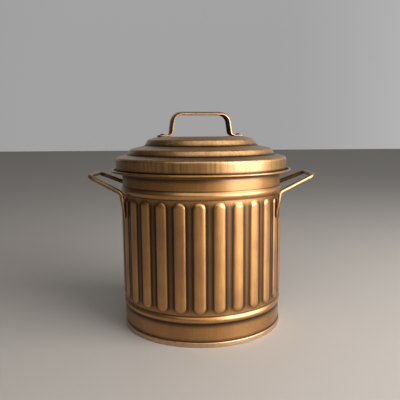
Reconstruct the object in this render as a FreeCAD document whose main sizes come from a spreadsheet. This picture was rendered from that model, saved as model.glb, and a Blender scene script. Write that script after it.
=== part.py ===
"""A countertop bin in dustbin form: fluted wall, wired rim, floor pan, side handles and a lift-off lid.

Millimetres, +Z up. The origin is the centre of the ring that the bin stands on. The side handles lie along X.
"""

import FreeCAD, Part
import Sketcher
import math
import os

from FreeCAD import Vector

# Driving dimensions: name, value, meaning. Lengths are in mm and angles in degrees.
SIZES = [
    ("wall_radius", 93.0, "outside of the plain wall"),
    ("sheet", 0.8, "thickness of the wall, pan and lid sheet"),
    ("flange_height", 181.0, "underside of the rim flange"),
    ("flange_reach", 11.4, "from the wall to the middle of the rolled lip"),
    ("flare_radius", 3.0, "bend from neck to flange, outside"),
    ("lip_radius", 1.5, "outside radius of the rolled lip's section"),
    ("lip_turn", 280.0, "how far the sheet is rolled round the wire"),
    ("wire_slack", 0.2, "gap between wire and rolled sheet"),
    ("bead_proud", 2.0, "how far a bead ring stands out of the wall"),
    ("bead_section_radius", 5.0, "radius of a bead ring's crown"),
    ("upper_bead_drop", 19.7, "from the flange down to the middle of the upper bead ring"),
    ("lower_bead_height", 29.5, "middle of the lower bead ring"),
    ("flute_count", 28, "flutes round the wall"),
    ("flute_proud", 2.1, "how far a flute stands out of the wall"),
    ("flute_section_radius", 10.6, "radius of a flute's crown"),
    ("flute_margin", 13.5, "from the middle of a bead ring to the centre of a flute's round end"),
    ("hoop_height", 5.6, "height of the base hoop"),
    ("hoop_thickness", 1.4, "thickness of the base hoop outside the wall"),
    ("hoop_rounding", 1.1, "rounding of the hoop's outer edges"),
    ("seam_gap", 0.05, "play between the wall and the hoop's channel"),
    ("pan_rise", 4.0, "underside of the floor above the ground that the bin stands on"),
    ("rod_radius", 2.5, "radius of a side handle's rod"),
    ("foot_flutes", 2, "flutes from the middle of a side handle to each of its feet"),
    ("handle_rise", 24.2, "slope of a side handle's loop above level"),
    ("leg_length", 44.4, "up the slope from the foot bends' corners to the grip's middle line"),
    ("grip_width", 54.0, "between the corners at the grip's two ends"),
    ("grip_bend_radius", 9.0, "bends between grip and legs, at the rod's middle"),
    ("foot_bend_radius", 5.0, "bends between legs and feet, at the rod's middle"),
    ("handle_drop", 22.5, "from the flange down to where the leg's and the foot's middle lines meet"),
    ("foot_straight", 0.2, "straight rod between the foot bend and the flattening"),
    ("foot_thickness", 2.0, "thickness of a flattened foot"),
    ("foot_width", 8.4, "width of a flattened foot"),
    ("foot_flatten", 18.0, "length over which the rod becomes the flat foot"),
    ("foot_length", 28.3, "from where the middle lines meet down to the flattened foot's end"),
    ("lid_play", 2.5, "gap between the lid's skirt and the rolled lip round it"),
    ("lid_seat_gap", 0.2, "gap between the skirt and the flange that it rests on"),
    ("lid_turn", 15.0, "how far the lid is turned on its seat"),
    ("skirt_height", 15.6, "skirt, from its edge to the corner above it"),
    ("shelf_rise", 3.1, "climb of the lowest tier's top"),
    ("shelf_width", 13.6, "from the skirt in to the foot of the middle tier"),
    ("middle_lean", 3.4, "how far the middle tier's side leans in"),
    ("middle_step", 6.6, "height of the middle tier's side"),
    ("middle_rise", 3.8, "climb of the middle tier's top"),
    ("middle_width", 17.0, "from the middle tier's corner in to the foot of the upper tier"),
    ("upper_lean", 3.6, "how far the upper tier's side leans in"),
    ("upper_step", 6.8, "height of the upper tier's side"),
    ("upper_rise", 3.2, "climb from the upper tier's corner to its level top"),
    ("upper_width", 10.8, "from the upper tier's corner in to the level top"),
    ("tier_rounding", 3.6, "rounding of the tiers' upper corners"),
    ("tier_hollow", 2.0, "hollow rounding at the tiers' feet"),
    ("top_rounding", 18.0, "rounding at the edge of the level top"),
    ("hem_height", 5.0, "height of the folded edge inside the skirt"),
    ("strap_width", 17.0, "width of the lid handle's strap"),
    ("strap_thickness", 2.2, "thickness of the lid handle's strap"),
    ("strap_rounding", 0.7, "rounding of the strap's long edges"),
    ("bow_height", 29.0, "top of the strap above the lid's level top"),
    ("bow_margin", 0.5, "from the edge of the level top in to the end of a foot"),
    ("bow_lean", 4.0, "how far each leg leans in from its foot to the top"),
    ("bow_bend_radius", 11.0, "bends between bar and legs, at the strap's middle"),
    ("bow_foot_bend_radius", 3.0, "bends between legs and feet, at the strap's middle"),
    ("bow_foot_length", 12.5, "foot, outwards from the leg's outer face"),
    ("rivet_radius", 2.0, "radius of a rivet's shank"),
    ("rivet_slack", 0.1, "gap between a rivet's shank and its hole"),
    ("rivet_inset", 5.5, "from a foot's end to its rivet"),
    ("rivet_head_radius", 3.4, "radius of a rivet's domed head"),
    ("rivet_head_height", 1.8, "height of a rivet's domed head"),
    ("rivet_tail_radius", 2.9, "radius of a rivet's formed tail"),
    ("rivet_tail_height", 1.5, "height of a rivet's formed tail"),
]

# Places and sizes that follow from the driving dimensions, as formulas.
FLUTE_CENTRE_RADIUS = "wall_radius + flute_proud - flute_section_radius"
BEAD_CENTRE_RADIUS = "wall_radius + bead_proud - bead_section_radius"
LIP_MIDDLE_RADIUS = "wall_radius + flange_reach"
LIP_MIDDLE_HEIGHT = "flange_height + lip_radius"
UPPER_BEAD = "(flange_height - upper_bead_drop)"
BEADS = (("Upper", UPPER_BEAD), ("Lower", "lower_bead_height"))
FLUTE_BOTTOM = "(lower_bead_height + flute_margin)"
FLUTE_TOP = f"({UPPER_BEAD} - flute_margin)"
HOOP_RADIUS = "wall_radius + seam_gap + hoop_thickness"
FOOT_ANGLE = "(foot_flutes * 360 / flute_count)"
FOOT_ROD_RADIUS = "(wall_radius + flute_proud + rod_radius)"
FOOT_FLAT_RADIUS = "(wall_radius + flute_proud + foot_thickness / 2)"
FOOT_CORNER = "(flange_height - handle_drop)"
LEG_NARROWING = f"({FOOT_ROD_RADIUS} * sin({FOOT_ANGLE}) - grip_width / 2)"
LEG_SLOPE = f"asin(leg_length * sin(handle_rise) / sqrt(leg_length ^ 2 + {LEG_NARROWING} ^ 2))"
FOOT_BEND_REACH = f"(foot_bend_radius * tan(45 deg - {LEG_SLOPE} / 2))"
ROD_END_HEIGHT = f"({FOOT_CORNER} - {FOOT_BEND_REACH} - foot_straight)"
FLAT_START_HEIGHT = f"({ROD_END_HEIGHT} - foot_flatten)"
LID_RADIUS = f"({LIP_MIDDLE_RADIUS} - lip_radius - lid_play)"
MIDDLE_FOOT_RADIUS = f"({LID_RADIUS} - shelf_width)"
MIDDLE_RADIUS = f"({MIDDLE_FOOT_RADIUS} - middle_lean)"
UPPER_FOOT_RADIUS = f"({MIDDLE_RADIUS} - middle_width)"
UPPER_RADIUS = f"({UPPER_FOOT_RADIUS} - upper_lean)"
TOP_RADIUS = f"({UPPER_RADIUS} - upper_width)"
LID_SEAT = "(flange_height + sheet + lid_seat_gap)"
SKIRT_CORNER = f"({LID_SEAT} + skirt_height)"
MIDDLE_FOOT = f"({SKIRT_CORNER} + shelf_rise)"
MIDDLE_CORNER = f"({MIDDLE_FOOT} + middle_step)"
UPPER_FOOT = f"({MIDDLE_CORNER} + middle_rise)"
UPPER_CORNER = f"({UPPER_FOOT} + upper_step)"
LID_TOP = f"({UPPER_CORNER} + upper_rise)"
BOW_END = f"({TOP_RADIUS} - bow_margin)"
BOW_FOOT = f"({BOW_END} - bow_foot_length)"
RIVET_REACH = f"({BOW_END} - rivet_inset)"

doc = FreeCAD.newDocument("countertop_bin")


def make_sheet():
    """Writes the driving dimensions into a spreadsheet, one named cell each."""
    sheet = doc.addObject("Spreadsheet::Sheet", "Sizes")
    for row, (name, value, meaning) in enumerate(SIZES, start=1):
        sheet.set(f"A{row}", meaning)
        sheet.set(f"B{row}", str(value))
        sheet.setAlias(f"B{row}", name)
    doc.recompute()
    return sheet


sizes = make_sheet()
ALIASES = {name for name, value, meaning in SIZES}


def formula(text):
    """Puts the sheet's name before each driving dimension in a formula."""
    words = []
    word = ""
    for letter in text + " ":
        if letter.isalnum() or letter == "_":
            word += letter
            continue
        words.append(f"Sizes.{word}" if word in ALIASES else word)
        words.append(letter)
        word = ""
    return "".join(words).strip()


def value_of(text):
    """Works a formula of driving dimensions out to a number."""
    return float(sizes.evalExpression(formula(text)))


def bind(thing, **formulas):
    """Binds properties to formulas. A double underscore stands for a dot, as in AttachmentOffset__Base__z."""
    for name, text in formulas.items():
        thing.setExpression(name.replace("__", "."), formula(text))


def make_body(label):
    """Starts a body whose label names its file."""
    body = doc.addObject("PartDesign::Body", label)
    body.Label = label
    return body


def plane_of(body, role):
    """Finds one of a body's own origin planes or axes."""
    return next(item for item in body.Origin.OriginFeatures if item.Role == role)


def make_sketch(body, name, role):
    """Starts a sketch on one of a body's own origin planes."""
    sketch = body.newObject("Sketcher::SketchObject", name)
    sketch.AttachmentSupport = (plane_of(body, role), "")
    sketch.MapMode = "FlatFace"
    return sketch


def pin_point(sketch, line, end, across, up):
    """Ties one end of a line to its distances from the sketch's origin."""
    for kind, text in (("DistanceX", across), ("DistanceY", up)):
        index = sketch.addConstraint(Sketcher.Constraint(kind, -1, 1, line, end, value_of(text)))
        sketch.setExpression(f"Constraints[{index}]", formula(text))


def draw_outline(sketch, corners):
    """Draws a closed outline through corners given as (across, up) formulas, each tied to the sheet."""
    points = [Vector(value_of(across), value_of(up), 0) for across, up in corners]
    count = len(points)
    for index in range(count):
        sketch.addGeometry(Part.LineSegment(points[index], points[(index + 1) % count]))
        pin_point(sketch, index, 1, *corners[index])
    for index in range(count):
        sketch.addConstraint(Sketcher.Constraint("Coincident", index, 2, (index + 1) % count, 1))


def revolve(body, sketch, name, kind="PartDesign::Revolution"):
    """Turns a sketch a full turn round its own upright axis."""
    turned = body.newObject(kind, name)
    turned.Profile = sketch
    turned.ReferenceAxis = (sketch, ["V_Axis"])
    turned.Angle = 360
    doc.recompute()
    return turned


def ring_edges(feature, rings):
    """Finds the circular edges about the bin's axis, each given as (radius, height) formulas."""
    wanted = [(value_of(radius), value_of(height)) for radius, height in rings]
    found = []
    for index, edge in enumerate(feature.Shape.Edges, start=1):
        if not isinstance(edge.Curve, Part.Circle):
            continue
        middle = edge.Curve.Center
        for radius, height in wanted:
            near = abs(edge.Curve.Radius - radius) < 1e-4 and abs(middle.z - height) < 1e-4
            if near and abs(edge.Curve.Axis.z) > 0.99:
                found.append(f"Edge{index}")
    return found


def round_rings(body, name, rings, radius):
    """Rounds circular edges of a body's latest feature."""
    base = body.Tip
    rounding = body.newObject("PartDesign::Fillet", name)
    rounding.Base = (base, ring_edges(base, rings))
    bind(rounding, Radius=radius)
    doc.recompute()
    return rounding


def check_volume(before, after, grows, name):
    """Stops the build when a feature that should add or cut has done nothing."""
    change = after.Volume - before.Volume
    if (change > 0) != grows or abs(change) < 1e-3:
        raise RuntimeError(f"{name} changed the volume by {change:.4f}")


def place_on_base_plane(feature, body, height):
    """Sets a primitive level at a height on its body's own ground plane."""
    feature.AttachmentSupport = (plane_of(body, "XY_Plane"), "")
    feature.MapMode = "FlatFace"
    bind(feature, AttachmentOffset__Base__z=height)
    doc.recompute()
    return feature


def add_cylinder(body, kind, name, radius, bottom, height):
    """Adds or cuts an upright cylinder about the bin's axis."""
    cylinder = body.newObject(f"PartDesign::{kind}Cylinder", name)
    bind(cylinder, Radius=radius, Height=height)
    return place_on_base_plane(cylinder, body, bottom)


def add_ring(body, kind, name, ring_radius, section_radius, height):
    """Adds or cuts a ring of round section about the bin's axis."""
    ring = body.newObject(f"PartDesign::{kind}Torus", name)
    bind(ring, Radius1=ring_radius, Radius2=section_radius)
    return place_on_base_plane(ring, body, height)


def add_flutes(body, kind, name, section_radius):
    """Adds or cuts upright round-ended bars on a circle, one for each flute."""
    sketch = make_sketch(body, f"{name}Sketch", "XZ_Plane")
    bind(sketch, AttachmentOffset__Base__x=FLUTE_CENTRE_RADIUS)
    radius = value_of(section_radius)
    bottom = value_of(FLUTE_BOTTOM)
    top = value_of(FLUTE_TOP)
    sketch.addGeometry(Part.LineSegment(Vector(radius, bottom, 0), Vector(radius, top, 0)))
    upper = Part.Circle(Vector(0, top, 0), Vector(0, 0, 1), radius)
    sketch.addGeometry(Part.ArcOfCircle(upper, 0, math.pi / 2))
    sketch.addGeometry(Part.LineSegment(Vector(0, top + radius, 0), Vector(0, bottom - radius, 0)))
    lower = Part.Circle(Vector(0, bottom, 0), Vector(0, 0, 1), radius)
    sketch.addGeometry(Part.ArcOfCircle(lower, -math.pi / 2, 0))
    pin_point(sketch, 0, 1, section_radius, FLUTE_BOTTOM)
    pin_point(sketch, 0, 2, section_radius, FLUTE_TOP)
    for line, line_end, arc, arc_end in ((0, 2, 1, 1), (2, 1, 1, 2), (2, 2, 3, 1), (0, 1, 3, 2)):
        sketch.addConstraint(Sketcher.Constraint("Coincident", line, line_end, arc, arc_end))
    for item, point in ((1, 3), (3, 3), (2, 1), (2, 2)):
        sketch.addConstraint(Sketcher.Constraint("PointOnObject", item, point, -2))
    for arc, height in ((1, FLUTE_TOP), (3, FLUTE_BOTTOM)):
        index = sketch.addConstraint(Sketcher.Constraint("DistanceY", -1, 1, arc, 3, value_of(height)))
        sketch.setExpression(f"Constraints[{index}]", formula(height))
    turned = "PartDesign::Revolution" if kind == "Additive" else "PartDesign::Groove"
    flute = revolve(body, sketch, name, turned)
    pattern = body.newObject("PartDesign::PolarPattern", f"{name}Pattern")
    pattern.Originals = [flute]
    pattern.Axis = (plane_of(body, "Z_Axis"), [""])
    pattern.Angle = 360
    bind(pattern, Occurrences="flute_count")
    body.Tip = pattern
    doc.recompute()
    check_volume(flute.Shape, pattern.Shape, kind == "Additive", name)


def add_rim(body):
    """Adds the level flange and the lip that is rolled up and over the rim wire."""
    sketch = make_sketch(body, "RimSketch", "XZ_Plane")
    inner = value_of("wall_radius - 2 * sheet")
    middle = value_of(LIP_MIDDLE_RADIUS)
    low = value_of("flange_height")
    high = value_of("flange_height + sheet")
    centre = Vector(middle, value_of(LIP_MIDDLE_HEIGHT), 0)
    outer_radius = value_of("lip_radius")
    inner_radius = value_of("lip_radius - sheet")
    begin = -math.pi / 2
    end = begin + math.radians(value_of("lip_turn"))
    outward = Vector(math.cos(end), math.sin(end), 0)
    sketch.addGeometry(Part.LineSegment(Vector(inner, low, 0), Vector(middle, low, 0)))
    sketch.addGeometry(Part.ArcOfCircle(Part.Circle(centre, Vector(0, 0, 1), outer_radius), begin, end))
    sketch.addGeometry(Part.LineSegment(centre + outward * outer_radius, centre + outward * inner_radius))
    sketch.addGeometry(Part.ArcOfCircle(Part.Circle(centre, Vector(0, 0, 1), inner_radius), begin, end))
    sketch.addGeometry(Part.LineSegment(Vector(middle, high, 0), Vector(inner, high, 0)))
    sketch.addGeometry(Part.LineSegment(Vector(inner, high, 0), Vector(inner, low, 0)))
    pin_point(sketch, 0, 1, "wall_radius - 2 * sheet", "flange_height")
    pin_point(sketch, 0, 2, LIP_MIDDLE_RADIUS, "flange_height")
    pin_point(sketch, 1, 3, LIP_MIDDLE_RADIUS, LIP_MIDDLE_HEIGHT)
    pin_point(sketch, 4, 1, LIP_MIDDLE_RADIUS, "flange_height + sheet")
    pin_point(sketch, 4, 2, "wall_radius - 2 * sheet", "flange_height + sheet")
    joins = ((0, 2, 1, 1), (1, 2, 2, 1), (2, 2, 3, 2), (3, 3, 1, 3), (3, 1, 4, 1), (4, 2, 5, 1), (5, 2, 0, 1))
    for first, first_end, second, second_end in joins:
        sketch.addConstraint(Sketcher.Constraint("Coincident", first, first_end, second, second_end))
    sketch.addConstraint(Sketcher.Constraint("PointOnObject", 1, 3, 2))
    index = sketch.addConstraint(Sketcher.Constraint("Angle", 2, end + math.pi))
    sketch.setExpression(f"Constraints[{index}]", formula("lip_turn + 90"))
    return revolve(body, sketch, "Rim")


def make_can_wall():
    """One rolled sheet: the plain wall, its beads and flutes, the flare and the rolled lip."""
    body = make_body("can_wall")
    add_cylinder(body, "Additive", "Outside", "wall_radius", "sheet", "flange_height")
    add_rim(body)
    for place, height in BEADS:
        add_ring(body, "Additive", f"{place}Bead", BEAD_CENTRE_RADIUS, "bead_section_radius", height)
    add_flutes(body, "Additive", "Flute", "flute_section_radius")
    outside = body.Tip.Shape
    add_cylinder(body, "Subtractive", "Inside", "wall_radius - sheet", "0", "flange_height + 2 * sheet")
    check_volume(outside, body.Tip.Shape, False, "Inside")
    bead_inside = "bead_section_radius - sheet"
    for place, height in BEADS:
        add_ring(body, "Subtractive", f"{place}BeadInside", BEAD_CENTRE_RADIUS, bead_inside, height)
    add_flutes(body, "Subtractive", "FluteInside", "flute_section_radius - sheet")
    round_rings(body, "FlareOutside", [("wall_radius", "flange_height")], "flare_radius")
    inside_corner = [("wall_radius - sheet", "flange_height + sheet")]
    round_rings(body, "FlareInside", inside_corner, "flare_radius + sheet")
    return body


def make_rim_wire():
    """The wire ring inside the rolled lip."""
    wire = doc.addObject("Part::Torus", "rim_wire")
    wire.Label = "rim_wire"
    bind(wire, Radius1=LIP_MIDDLE_RADIUS, Radius2="lip_radius - sheet - wire_slack")
    bind(wire, Placement__Base__z=LIP_MIDDLE_HEIGHT)
    return wire


def make_base_pan():
    """The floor, raised off the ground, and the hoop whose channel takes the wall's lower edge."""
    body = make_body("base_pan")
    sketch = make_sketch(body, "PanSketch", "XZ_Plane")
    inside_leg = "wall_radius - 2 * sheet - seam_gap"
    draw_outline(sketch, [
        ("0", "pan_rise"),
        (inside_leg, "pan_rise"),
        (inside_leg, "0"),
        (HOOP_RADIUS, "0"),
        (HOOP_RADIUS, "hoop_height"),
        ("wall_radius + seam_gap", "hoop_height"),
        ("wall_radius + seam_gap", "sheet"),
        ("wall_radius - sheet - seam_gap", "sheet"),
        ("wall_radius - sheet - seam_gap", "pan_rise + sheet"),
        ("0", "pan_rise + sheet"),
    ])
    revolve(body, sketch, "Pan")
    round_rings(body, "HoopRounding", [(HOOP_RADIUS, "0"), (HOOP_RADIUS, "hoop_height")], "hoop_rounding")
    return body


def rounded_wire(points, radii):
    """Joins points with straight runs and tangent arcs. Each inner point has its own bend radius."""
    edges = []
    start = points[0]
    for before, corner, after, radius in zip(points, points[1:], points[2:], radii):
        into = (before - corner).normalize()
        out = (after - corner).normalize()
        half = into.getAngle(out) / 2
        reach = radius / math.tan(half)
        first = corner + into * reach
        last = corner + out * reach
        bisector = (into + out).normalize()
        middle = corner + bisector * (radius / math.sin(half) - radius)
        edges.append(Part.LineSegment(start, first).toShape())
        edges.append(Part.Arc(first, middle, last).toShape())
        start = last
    edges.append(Part.LineSegment(start, points[-1]).toShape())
    return Part.Wire(edges)


def make_curve(name, wire):
    """Keeps a worked-out wire as an object, to sweep along or to sweep."""
    curve = doc.addObject("Part::Feature", name)
    curve.Shape = wire
    return curve


def make_sweep(name, section, spine):
    """Sweeps a section along a spine as a solid."""
    sweep = doc.addObject("Part::Sweep", name)
    sweep.Sections = [section]
    sweep.Spine = (spine, [f"Edge{index}" for index in range(1, len(spine.Shape.Edges) + 1)])
    sweep.Solid = True
    sweep.Frenet = False
    doc.recompute()
    return sweep


def fuse(name, shapes):
    """Joins shapes into one solid."""
    joined = doc.addObject("Part::MultiFuse", name)
    joined.Shapes = shapes
    doc.recompute()
    return joined


def make_foot(side):
    """One flattened end of the right handle's rod, on the crown of its flute."""
    name = "Near" if side < 0 else "Far"
    angle = f"({side} * {FOOT_ANGLE})"
    round_end = doc.addObject("Part::Circle", f"{name}RodEnd")
    bind(round_end, Radius="rod_radius", Placement__Base__z=ROD_END_HEIGHT)
    flat_end = doc.addObject("Part::Ellipse", f"{name}FlatEnd")
    bind(flat_end, MajorRadius="foot_width / 2", MinorRadius="foot_thickness / 2")
    bind(flat_end, Placement__Base__z=FLAT_START_HEIGHT)
    for outline, radius in ((round_end, FOOT_ROD_RADIUS), (flat_end, FOOT_FLAT_RADIUS)):
        bind(outline, Placement__Base__x=f"{radius} * cos({angle})")
        bind(outline, Placement__Base__y=f"{radius} * sin({angle})")
        bind(outline, Placement__Rotation__Angle=f"90 + {angle}")
    flattening = doc.addObject("Part::Loft", f"{name}Flattening")
    flattening.Sections = [round_end, flat_end]
    flattening.Solid = True
    flat = doc.addObject("Part::Extrusion", f"{name}Flat")
    flat.Base = flat_end
    flat.DirMode = "Custom"
    flat.Dir = Vector(0, 0, -1)
    flat.Solid = True
    bind(flat, LengthFwd=f"{FLAT_START_HEIGHT} - ({FOOT_CORNER} - foot_length)")
    doc.recompute()
    return round_end, [flattening, flat]


def make_side_handles():
    """The right handle, a bent rod with flattened ends, and its mirror image on the left."""
    foot_angle = math.radians(value_of(FOOT_ANGLE))
    foot_x = value_of(FOOT_ROD_RADIUS) * math.cos(foot_angle)
    foot_y = value_of(FOOT_ROD_RADIUS) * math.sin(foot_angle)
    rise = math.radians(value_of("handle_rise"))
    run = value_of("leg_length")
    corner_height = value_of(FOOT_CORNER)
    grip_x = foot_x + run * math.cos(rise)
    grip_height = corner_height + run * math.sin(rise)
    grip_y = value_of("grip_width / 2")
    end_height = value_of(ROD_END_HEIGHT)
    points = [
        Vector(foot_x, -foot_y, end_height),
        Vector(foot_x, -foot_y, corner_height),
        Vector(grip_x, -grip_y, grip_height),
        Vector(grip_x, grip_y, grip_height),
        Vector(foot_x, foot_y, corner_height),
        Vector(foot_x, foot_y, end_height),
    ]
    foot_bend = value_of("foot_bend_radius")
    grip_bend = value_of("grip_bend_radius")
    near_end, near_foot = make_foot(-1)
    far_end, far_foot = make_foot(1)
    spine = make_curve("HandleSpine", rounded_wire(points, [foot_bend, grip_bend, grip_bend, foot_bend]))
    rod = make_sweep("HandleRod", near_end, spine)
    right = fuse("right_handle", [rod, *near_foot, *far_foot])
    right.Label = "right_handle"
    left = doc.addObject("Part::Mirroring", "left_handle")
    left.Label = "left_handle"
    left.Source = right
    left.Normal = Vector(1, 0, 0)
    doc.recompute()
    return right, left


def make_lid_shell():
    """The spun lid: three tiers over a skirt, open below, with a folded hem and two rivet holes."""
    body = make_body("lid_shell")
    sketch = make_sketch(body, "LidSketch", "XZ_Plane")
    draw_outline(sketch, [
        ("0", LID_SEAT),
        (LID_RADIUS, LID_SEAT),
        (LID_RADIUS, SKIRT_CORNER),
        (MIDDLE_FOOT_RADIUS, MIDDLE_FOOT),
        (MIDDLE_RADIUS, MIDDLE_CORNER),
        (UPPER_FOOT_RADIUS, UPPER_FOOT),
        (UPPER_RADIUS, UPPER_CORNER),
        (TOP_RADIUS, LID_TOP),
        ("0", LID_TOP),
    ])
    revolve(body, sketch, "Lid")
    corners = [(LID_RADIUS, SKIRT_CORNER), (MIDDLE_RADIUS, MIDDLE_CORNER), (UPPER_RADIUS, UPPER_CORNER)]
    round_rings(body, "TierRounding", corners, "tier_rounding")
    feet = [(MIDDLE_FOOT_RADIUS, MIDDLE_FOOT), (UPPER_FOOT_RADIUS, UPPER_FOOT)]
    round_rings(body, "TierHollow", feet, "tier_hollow")
    full = round_rings(body, "TopRounding", [(TOP_RADIUS, LID_TOP)], "top_rounding")
    seat = value_of(LID_SEAT)
    faces = enumerate(full.Shape.Faces, start=1)
    underside = [f"Face{index}" for index, face in faces if abs(face.BoundBox.ZMax - seat) < 1e-6]
    hollow = body.newObject("PartDesign::Thickness", "Hollow")
    hollow.Base = (full, underside)
    hollow.Reversed = True
    bind(hollow, Value="sheet")
    doc.recompute()
    check_volume(full.Shape, hollow.Shape, False, "Hollow")
    hem = make_sketch(body, "HemSketch", "XZ_Plane")
    draw_outline(hem, [
        (f"{LID_RADIUS} - 2 * sheet", LID_SEAT),
        (f"{LID_RADIUS} - sheet / 2", LID_SEAT),
        (f"{LID_RADIUS} - sheet / 2", f"{LID_SEAT} + hem_height"),
        (f"{LID_RADIUS} - 2 * sheet", f"{LID_SEAT} + hem_height"),
    ])
    revolve(body, hem, "Hem")
    holes = make_sketch(body, "RivetHoleSketch", "XY_Plane")
    bind(holes, AttachmentOffset__Base__z=f"{LID_TOP} - 2 * sheet")
    for index, side in enumerate((-1, 1)):
        across = f"{side} * {RIVET_REACH} * cos(lid_turn)"
        along = f"{side} * {RIVET_REACH} * sin(lid_turn)"
        radius = value_of("rivet_radius + rivet_slack")
        centre = Vector(value_of(across), value_of(along), 0)
        holes.addGeometry(Part.Circle(centre, Vector(0, 0, 1), radius))
        pin_point(holes, index, 3, across, along)
        number = holes.addConstraint(Sketcher.Constraint("Radius", index, radius))
        holes.setExpression(f"Constraints[{number}]", formula("rivet_radius + rivet_slack"))
    before = body.Tip.Shape
    pocket = body.newObject("PartDesign::Pocket", "RivetHoles")
    pocket.Profile = holes
    pocket.Reversed = True
    bind(pocket, Length="4 * sheet")
    doc.recompute()
    check_volume(before, pocket.Shape, False, "RivetHoles")
    return body


def strap_section(width, thickness, rounding):
    """A flat rectangle with rounded corners, its width along Y and its thickness along Z."""
    half_width = width / 2
    half_thickness = thickness / 2
    corners = [(-1, -1), (1, -1), (1, 1), (-1, 1)]
    points = [Vector(0, across * half_width, up * half_thickness) for across, up in corners]
    middle = (points[3] + points[0]) / 2
    loop = [middle, *points, middle]
    return rounded_wire(loop, [rounding] * len(corners))


def make_lid_handle():
    """The strap handle: a level bar, two legs and two turned-out feet with rivet holes."""
    thickness = value_of("strap_thickness")
    foot_height = value_of(f"{LID_TOP} + strap_thickness / 2")
    bar_height = value_of(f"{LID_TOP} + bow_height - strap_thickness / 2")
    leg_foot = value_of(f"{BOW_FOOT} - strap_thickness / 2")
    leg_top = value_of(f"{BOW_FOOT} - bow_lean - strap_thickness / 2")
    foot_end = value_of(BOW_END)
    right = [
        Vector(leg_top, 0, bar_height),
        Vector(leg_foot, 0, foot_height),
        Vector(foot_end, 0, foot_height),
    ]
    left = [Vector(-point.x, 0, point.z) for point in reversed(right)]
    foot_bend = value_of("bow_foot_bend_radius")
    bow_bend = value_of("bow_bend_radius")
    path = rounded_wire(left + right, [foot_bend, bow_bend, bow_bend, foot_bend])
    outline = strap_section(value_of("strap_width"), thickness, value_of("strap_rounding"))
    outline.translate(left[0])
    turn = value_of("lid_turn")
    for wire in (path, outline):
        wire.rotate(Vector(0, 0, 0), Vector(0, 0, 1), turn)
    strap = make_sweep("Strap", make_curve("StrapSection", outline), make_curve("StrapSpine", path))
    for side in (-1, 1):
        drill_radius = "rivet_radius + rivet_slack"
        drill = make_rivet_cylinder(side, f"Drill{side + 1}", drill_radius, LID_TOP, "2 * strap_thickness")
        drilled = doc.addObject("Part::Cut", f"StrapDrilled{side + 1}")
        drilled.Base = strap
        drilled.Tool = drill
        doc.recompute()
        check_volume(strap.Shape, drilled.Shape, False, drilled.Name)
        strap = drilled
    strap.Label = "lid_handle"
    return strap


def place_at_rivet(thing, side, height):
    """Sets something upright on the axis of the rivet on one side of the lid handle."""
    bind(thing, Placement__Base__x=f"{side} * {RIVET_REACH} * cos(lid_turn)")
    bind(thing, Placement__Base__y=f"{side} * {RIVET_REACH} * sin(lid_turn)")
    bind(thing, Placement__Base__z=height)
    return thing


def make_rivet_cylinder(side, name, radius, bottom, height):
    """An upright cylinder on a rivet's axis."""
    cylinder = doc.addObject("Part::Cylinder", name)
    bind(cylinder, Radius=radius, Height=height)
    return place_at_rivet(cylinder, side, bottom)


def make_lid_rivets():
    """Two domed rivets through the handle's feet and the lid, with formed tails under the lid."""
    head_seat = f"({LID_TOP} + strap_thickness)"
    under_lid = f"({LID_TOP} - sheet)"
    dome_radius = "((rivet_head_radius ^ 2 + rivet_head_height ^ 2) / (2 * rivet_head_height))"
    rivets = []
    for side in (-1, 1):
        mark = side + 1
        shank_height = "strap_thickness + sheet + rivet_tail_height / 2 + rivet_head_height / 2"
        shank_bottom = f"{under_lid} - rivet_tail_height / 2"
        shank = make_rivet_cylinder(side, f"Shank{mark}", "rivet_radius", shank_bottom, shank_height)
        tail_bottom = f"{under_lid} - rivet_tail_height"
        tail = make_rivet_cylinder(side, f"Tail{mark}", "rivet_tail_radius", tail_bottom, "rivet_tail_height")
        head = doc.addObject("Part::Sphere", f"Head{mark}")
        bind(head, Radius=dome_radius, Angle1=f"asin(1 - rivet_head_height / {dome_radius})")
        place_at_rivet(head, side, f"{head_seat} + rivet_head_height - {dome_radius}")
        rivets.append(fuse(f"Rivet{mark}", [shank, tail, head]))
    pair = doc.addObject("Part::Compound", "lid_rivets")
    pair.Label = "lid_rivets"
    pair.Links = rivets
    doc.recompute()
    return pair


def main():
    """Builds every piece, checks it and writes it."""
    pieces = [make_can_wall(), make_rim_wire(), make_base_pan(), *make_side_handles()]
    pieces += [make_lid_shell(), make_lid_handle(), make_lid_rivets()]
    doc.recompute()
    for item in doc.Objects:
        if "Invalid" in item.State or "Error" in item.State:
            raise RuntimeError(f"{item.Label} did not build: {item.State}")
    for piece in pieces:
        if piece.Shape.isNull() or not piece.Shape.isValid():
            raise RuntimeError(f"{piece.Label} has no valid shape")
    os.makedirs("parts", exist_ok=True)
    for piece in pieces:
        piece.Shape.exportStep(os.path.join("parts", f"{piece.Label}.step"))
        print(piece.Label, len(piece.Shape.Solids), "solids", round(piece.Shape.Volume, 1), "mm3")


main()
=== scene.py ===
"""Dresses a countertop bin in dustbin form: antique brass sheet, fluted wall, rolled rim and a tiered lid.

Every piece is a surface worked out on a grid: a profile turned about the bin's axis, or a section carried
along a path. Metres, +Z up, the bin's axis on Z and the side handles along X. The camera looks along +Y.
"""

import logging
import math
from dataclasses import dataclass, field
from enum import Enum

import bpy
import numpy as np
from mathutils import Euler, Matrix, Vector


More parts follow.
